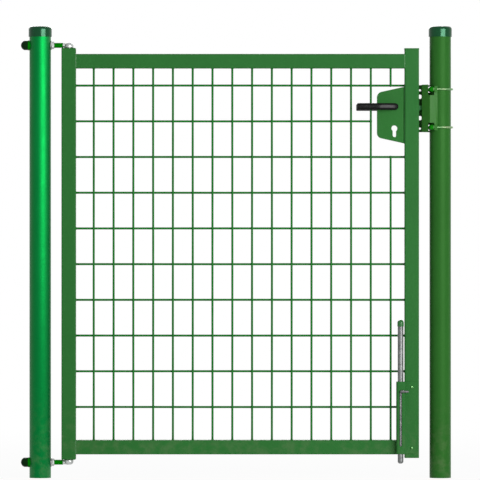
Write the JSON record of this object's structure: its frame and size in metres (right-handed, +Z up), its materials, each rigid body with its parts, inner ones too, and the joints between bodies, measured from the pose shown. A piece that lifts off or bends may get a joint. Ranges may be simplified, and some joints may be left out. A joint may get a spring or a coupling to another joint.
{
  "type": "garden gate",
  "caption": "Single-leaf metal garden gate of square tube and welded wire mesh, with both round posts, adjustable hinges, lever lock, clamped keep and drop bolt.",
  "frame": {"origin": "centre of the hinge post's foot, at ground level", "axes": "+Z up along the posts, +X from the hinge post to the latch post, -Y to the front, the side that the leaf opens to"},
  "size_m": [1.2101, 0.12, 1.2634],
  "materials": {
    "hinge_post_green": "smooth green powder coat, glossy",
    "moss_green": "moss green powder coat, satin",
    "cap_plastic": "dark green moulded plastic, glossy",
    "leaf_green": "green powder coat, satin",
    "wire_green": "green coated wire",
    "sleeve_green": "bright green moulded plastic",
    "dark_plastic": "near-black green moulded plastic",
    "black_plastic": "black moulded plastic",
    "galvanised": "hot-dip galvanised steel, dull",
    "zinc_plate": "zinc plated steel"
  },
  "bodies": {
    "posts": {"hinge_post": "hinge_post_green", "latch_post": "moss_green", "hinge_post_cap": "cap_plastic", "latch_post_cap": "cap_plastic", "top_hinge_eye_bolt": "galvanised", "top_hinge_sleeve": "sleeve_green", "top_hinge_lock_nut": "galvanised", "top_hinge_saddle": "sleeve_green", "top_hinge_back_nut": "galvanised", "top_hinge_nut_cap": "dark_plastic", "bottom_hinge_eye_bolt": "galvanised", "bottom_hinge_sleeve": "sleeve_green", "bottom_hinge_lock_nut": "galvanised", "bottom_hinge_saddle": "sleeve_green", "bottom_hinge_back_nut": "galvanised", "bottom_hinge_nut_cap": "dark_plastic", "keep_bracket": "moss_green", "closing_stop": "moss_green", "upper_u_bolt": "zinc_plate", "lower_u_bolt": "zinc_plate", "keep_nuts": "zinc_plate", "keep_nut_caps": "sleeve_green", "keep_washers": "zinc_plate"},
    "leaf": {"hinge_stile": "leaf_green", "latch_stile": "leaf_green", "top_rail": "leaf_green", "bottom_rail": "leaf_green", "mesh_panel": "wire_green", "hinge_stile_plates": "leaf_green", "latch_stile_caps": "leaf_green", "top_hinge_pin": "galvanised", "bottom_hinge_pin": "galvanised", "lock_box": "leaf_green", "lock_case": "zinc_plate", "lock_forend": "zinc_plate", "dead_bolt": "zinc_plate", "drop_bolt_cover": "leaf_green", "drop_bolt_guides": "leaf_green"},
    "lever": {"lever_spindle": "zinc_plate", "front_lever": "black_plastic", "rear_lever": "black_plastic"},
    "latch": {"latch_bolt": "leaf_green"},
    "drop_bolt": {"drop_rod": "galvanised", "drop_rod_cap": "cap_plastic", "drop_rod_handle": "galvanised"}
  },
  "joints": [
    {"name": "gate_swing", "type": "hinge", "parent": "posts", "child": "leaf", "pos_m": [0.08, 0, 0.627], "axis": [0, 0, -1], "range_deg": [0, 120]},
    {"name": "lever_turn", "type": "hinge", "parent": "leaf", "child": "lever", "pos_m": [0.9915, 0, 1.038], "axis": [0, -1, 0], "range_deg": [0, 40], "stiffness_Nm_per_rad": 1.5, "springref_deg": -20.05},
    {"name": "latch_slide", "type": "slide", "parent": "leaf", "child": "latch", "axis": [-1, 0, 0], "range_m": [0, 0.0136]},
    {"name": "drop_bolt_slide", "type": "slide", "parent": "leaf", "child": "drop_bolt", "axis": [0, 0, 1], "range_m": [-0.15, 0]}
  ],
  "couplings": [
    {"joint": "latch_slide", "follows": "lever_turn", "m_per_rad": 0.01948}
  ]
}
